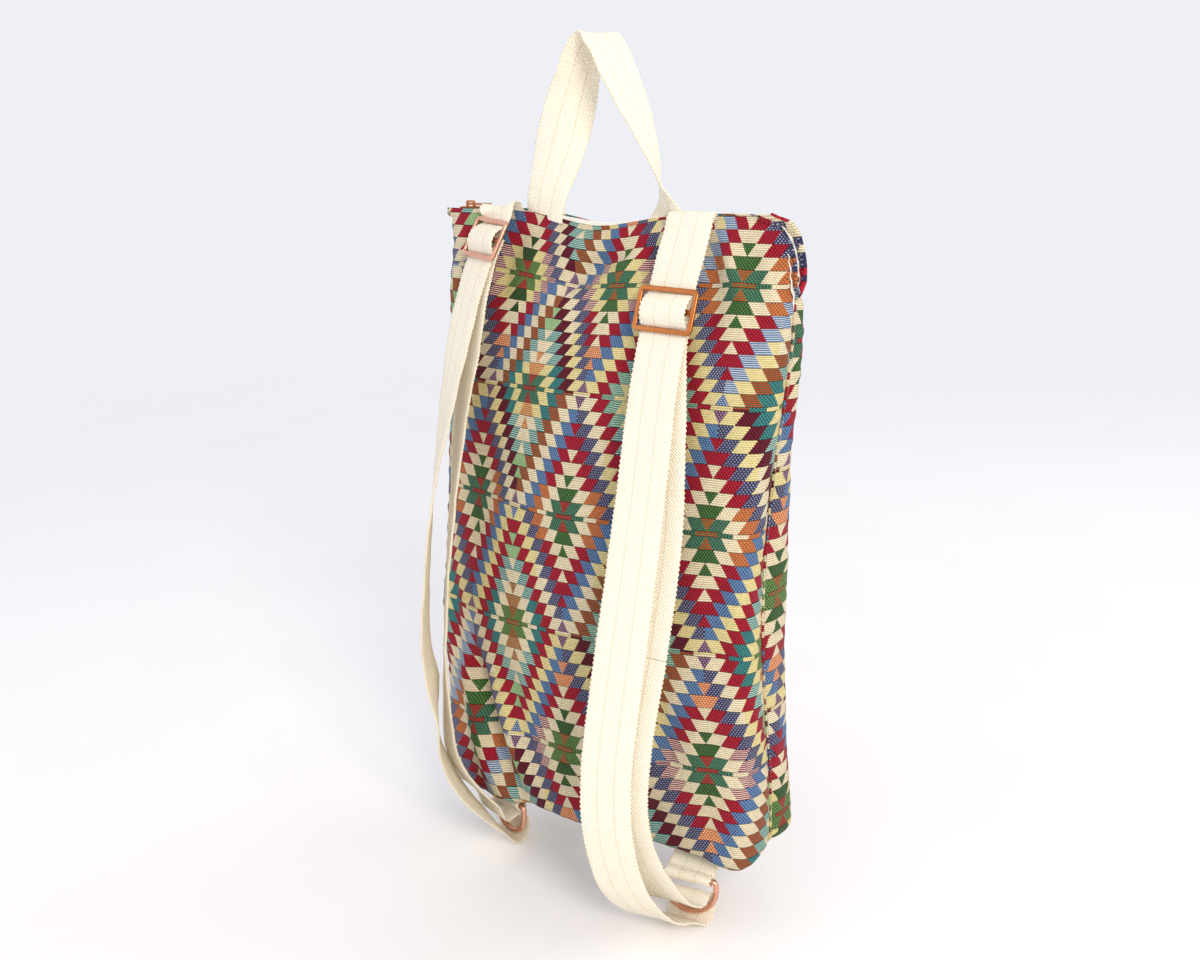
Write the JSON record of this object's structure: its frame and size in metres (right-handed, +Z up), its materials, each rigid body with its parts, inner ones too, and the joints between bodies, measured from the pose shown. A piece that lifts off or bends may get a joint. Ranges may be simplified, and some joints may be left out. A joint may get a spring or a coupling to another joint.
{
  "type": "tapestry zip-top backpack",
  "caption": "Small upright backpack of patterned tapestry cloth with a zipped top, twisted webbing handle and adjustable webbing straps on metal rings.",
  "frame": {"origin": "inside top of the webbing handle, where a hand or hook holds the bag", "axes": "+Z up, +X across the bag's width towards the zip's low end, -Y out of the side that carries the shoulder straps"},
  "size_m": [0.283, 0.1395, 0.555],
  "materials": {
    "tapestry": "ribbed jacquard weave in many colours, matt",
    "webbing": "cream cotton herringbone webbing, matt",
    "zip_tape": "cream woven tape, matt",
    "zip_coil": "white nylon coil",
    "copper_plate": "polished copper plating",
    "rose_gold_plate": "polished pale rose-gold plating"
  },
  "bodies": {
    "bag": {"back_panel": "tapestry", "front_panel": "tapestry", "zip_tape_back": "zip_tape", "zip_tape_front": "zip_tape", "zip_teeth_back": "zip_coil", "zip_teeth_front": "zip_coil", "zip_top_stop_back": "copper_plate", "zip_top_stop_front": "copper_plate", "zip_bottom_stop": "copper_plate", "top_handle": "webbing", "strap_left": "webbing", "strap_right": "webbing", "ring_tab_left": "webbing", "ring_tab_right": "webbing"},
    "slider": {"zip_slider": "copper_plate"},
    "pull": {"zip_pull": "copper_plate"},
    "left_glide": {"glide_left": "rose_gold_plate"},
    "right_glide": {"glide_right": "copper_plate"},
    "left_ring": {"d_ring_left": "copper_plate"},
    "right_ring": {"d_ring_right": "copper_plate"}
  },
  "joints": [
    {"name": "zip_slide", "type": "slide", "parent": "bag", "child": "slider", "axis": [1, 0, 0], "range_m": [0, 0.212], "deforming": ["zip_tape_back", "zip_tape_front", "zip_teeth_back", "zip_teeth_front"]},
    {"name": "pull_swing", "type": "hinge", "parent": "slider", "child": "pull", "pos_m": [-0.1065, 0, -0.0999], "axis": [0, -1, 0], "range_deg": [0, 170]},
    {"name": "left_glide_slide", "type": "slide", "parent": "bag", "child": "left_glide", "axis": [-0.2009, -0.4219, -0.8841], "range_m": [0, 0.04], "deforming": ["strap_left"]},
    {"name": "right_glide_slide", "type": "slide", "parent": "bag", "child": "right_glide", "axis": [-0.028, -0.34, -0.94], "range_m": [0, 0.05], "deforming": ["strap_right"]},
    {"name": "left_ring_swing", "type": "hinge", "parent": "bag", "child": "left_ring", "pos_m": [-0.079, -0.022, -0.5192], "axis": [0.9613, -0.2756, 0], "range_deg": [-60, 60], "deforming": ["strap_left"]},
    {"name": "right_ring_swing", "type": "hinge", "parent": "bag", "child": "right_ring", "pos_m": [0.081, -0.032, -0.5212], "axis": [0.9848, 0.1736, 0], "range_deg": [-60, 60], "deforming": ["strap_right"]}
  ]
}
